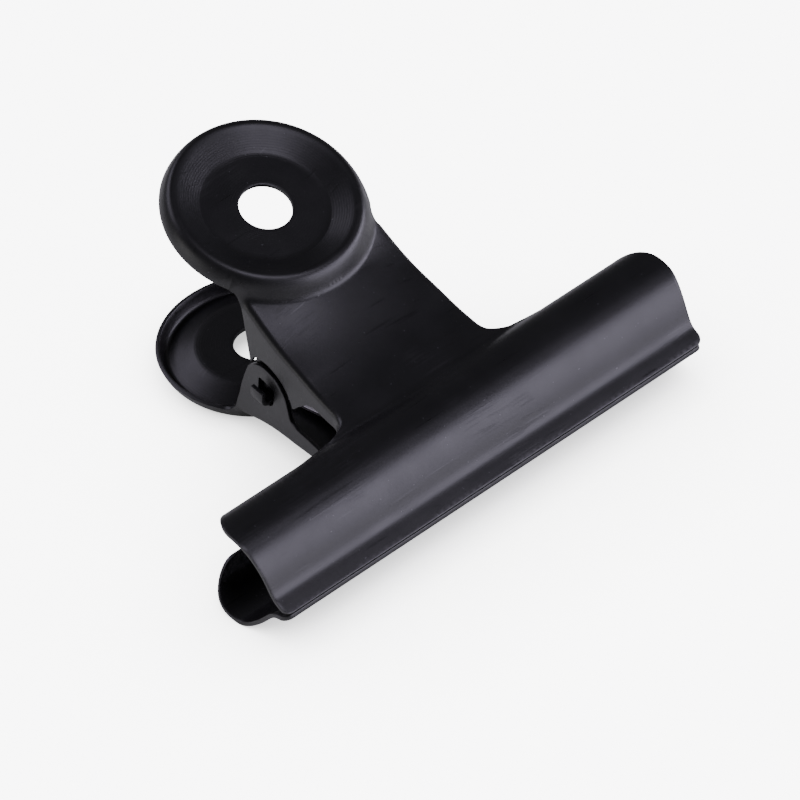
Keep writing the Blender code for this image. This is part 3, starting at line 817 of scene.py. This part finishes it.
# ---- placing in the frame ------------------------------------------------------------
def lying_angle():
    """Turn about the hinge that takes the upper thumb flat to its place in the frame."""
    mounts = {mount["name"]: mount for mount in RECORD["mounts"]}
    flat = Vector(mounts["upper_thumb_flat"]["pos_m"])
    lying = math.atan2(flat.z - HINGE.z, flat.y - HINGE.y)
    return lying - math.atan2(DISC_HEIGHT - PIVOT_Z, DISC_Y - PIVOT_Y)


def clip_to_frame():
    """From the clip's own millimetres to its place in the frame, in metres."""
    return (Matrix.Translation(HINGE) @ Matrix.Rotation(lying_angle(), 4, "X")
            @ Matrix.Scale(MM, 4) @ Matrix.Translation((0.0, -PIVOT_Y, -PIVOT_Z)))


def bake(piece):
    """Apply the modifiers and set the mesh down in the frame, in metres."""
    depsgraph = bpy.context.evaluated_depsgraph_get()
    mesh = bpy.data.meshes.new_from_object(piece.evaluated_get(depsgraph))
    piece.modifiers.clear()
    piece.data = mesh
    mesh.transform(clip_to_frame())
    mesh.shade_smooth()
    mesh.set_sharp_from_angle(angle=SHARP_ANGLE)


def finish_piece(piece, materials, body):
    for material in materials:
        piece.data.materials.append(material)
    bake(piece)
    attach(piece, body)


# ---- the clip ------------------------------------------------------------------------
def build_clip():
    place = clip_to_frame()
    finishes = {}
    for body, side in (("upper", 1), ("lower", -1)):
        centre = place @ Vector((0.0, DISC_Y, side * DISC_HEIGHT))
        finishes[body] = (enamel_material("satin_black_enamel_" + body, centre, rubbed=False),
                          enamel_material("rubbed_enamel_edge_" + body, centre, rubbed=True))
    steel = spring_material()

    upper = make_lever("upper_stamping", upper_flange_edge, 1)
    thicken(upper)
    soften_edges(upper, SHEET_EDGE)
    lower = make_lever("lower_stamping", lower_flange_edge, -1)
    thicken(lower)
    cutter = make_ear_hole_cutter()
    step = lower.modifiers.new("ear_holes", "BOOLEAN")
    step.operation = "DIFFERENCE"
    step.object = cutter
    step.solver = "EXACT"
    soften_edges(lower, SHEET_EDGE)
    tabs = make_hinge_tabs()
    for tab in tabs:
        soften_edges(tab, SHEET_EDGE)

    finish_piece(upper, finishes["upper"], "upper")
    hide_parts("upper_lever")
    finish_piece(lower, finishes["lower"], "lower")
    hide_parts("lower_lever")
    bpy.data.objects.remove(cutter, do_unlink=True)
    for tab in tabs:
        finish_piece(tab, finishes["upper"], "upper")

    spring = make_spring()
    soften_edges(spring, SHEET_EDGE)
    spring.data.materials.append(steel)
    spring.data.materials.append(steel)
    bake(spring)
    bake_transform(spring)
    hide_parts("leaf_spring")


# ---- floor, light and camera ---------------------------------------------------------
FLOOR_SIZE = 3.0             # metres, as are this section's other lengths but the lens's
SOFTBOX_TINT = (0.86, 0.81, 1.0)
STRIP_TINT = (1.0, 0.98, 0.98)
WORLD_TINT = (0.93, 0.92, 1.0)
WORLD_STRENGTH = 0.08
# Area lights: name, azimuth and elevation in degrees, distance, size, power and colour.
LIGHTS = [
    ("softbox_front", 32.0, 14.0, 0.6, (0.62, 0.34), 2.25, SOFTBOX_TINT),
    ("softbox_high", 4.0, 64.0, 1.1, (0.6, 0.5), 2.5, SOFTBOX_TINT),
    ("strip_right", 70.0, 10.0, 0.9, (0.3, 0.2), 1.3, SOFTBOX_TINT),
    ("strip_left", -112.0, 9.0, 0.9, (0.5, 0.2), 0.5, STRIP_TINT),
    ("softbox_back", -164.0, 40.0, 1.0, (0.8, 0.5), 1.8, SOFTBOX_TINT),
]
CAMERA_AZIMUTH = math.radians(-37.07)
CAMERA_ELEVATION = math.radians(39.21)
CAMERA_ROLL = math.radians(-7.39)
CAMERA_DISTANCE = 0.954
CAMERA_TARGET = Vector((0.00277, -0.0089, 0.00534))
CAMERA_LENS = 315.0          # millimetres, on a sensor this wide
CAMERA_SENSOR = 36.0


def make_floor():
    bm = bmesh.new()
    bmesh.ops.create_grid(bm, x_segments=1, y_segments=1, size=FLOOR_SIZE / 2)
    floor = linked_object("floor", bm)
    floor.data.materials.append(floor_material())


def aim(toward):
    """Rotation of a light or camera that stands in that direction and looks back."""
    return (-toward).to_track_quat("-Z", "Y")


def direction_from(azimuth, elevation):
    """Unit vector towards a viewer at that azimuth and elevation; azimuth 0 looks along +Y."""
    flat = math.cos(elevation)
    return Vector((math.sin(azimuth) * flat, -math.cos(azimuth) * flat, math.sin(elevation)))


def add_light(name, azimuth, elevation, distance, size, power, colour):
    data = bpy.data.lights.new(name, "AREA")
    data.shape = "RECTANGLE"
    data.size, data.size_y = size
    data.energy = power
    data.color = colour
    light = bpy.data.objects.new(name, data)
    toward = direction_from(math.radians(azimuth), math.radians(elevation))
    light.location = toward * distance
    light.rotation_euler = aim(toward).to_euler()
    bpy.context.collection.objects.link(light)


def make_lights():
    for light in LIGHTS:
        add_light(*light)
    world = bpy.data.worlds.new("studio")
    world.use_nodes = True
    set_inputs(world.node_tree.nodes["Background"],
               {"Color": (*WORLD_TINT, 1.0), "Strength": WORLD_STRENGTH})
    bpy.context.scene.world = world


def make_camera():
    data = bpy.data.cameras.new("camera")
    data.lens = CAMERA_LENS
    data.sensor_width = CAMERA_SENSOR
    data.clip_end = 10.0
    camera = bpy.data.objects.new("camera", data)
    toward = direction_from(CAMERA_AZIMUTH, CAMERA_ELEVATION)
    camera.location = CAMERA_TARGET + toward * CAMERA_DISTANCE
    turn = aim(toward).to_matrix().to_4x4() @ Matrix.Rotation(CAMERA_ROLL, 4, "Z")
    camera.rotation_euler = turn.to_euler()
    bpy.context.collection.objects.link(camera)
    bpy.context.scene.camera = camera


build_clip()
make_floor()
make_lights()
make_camera()
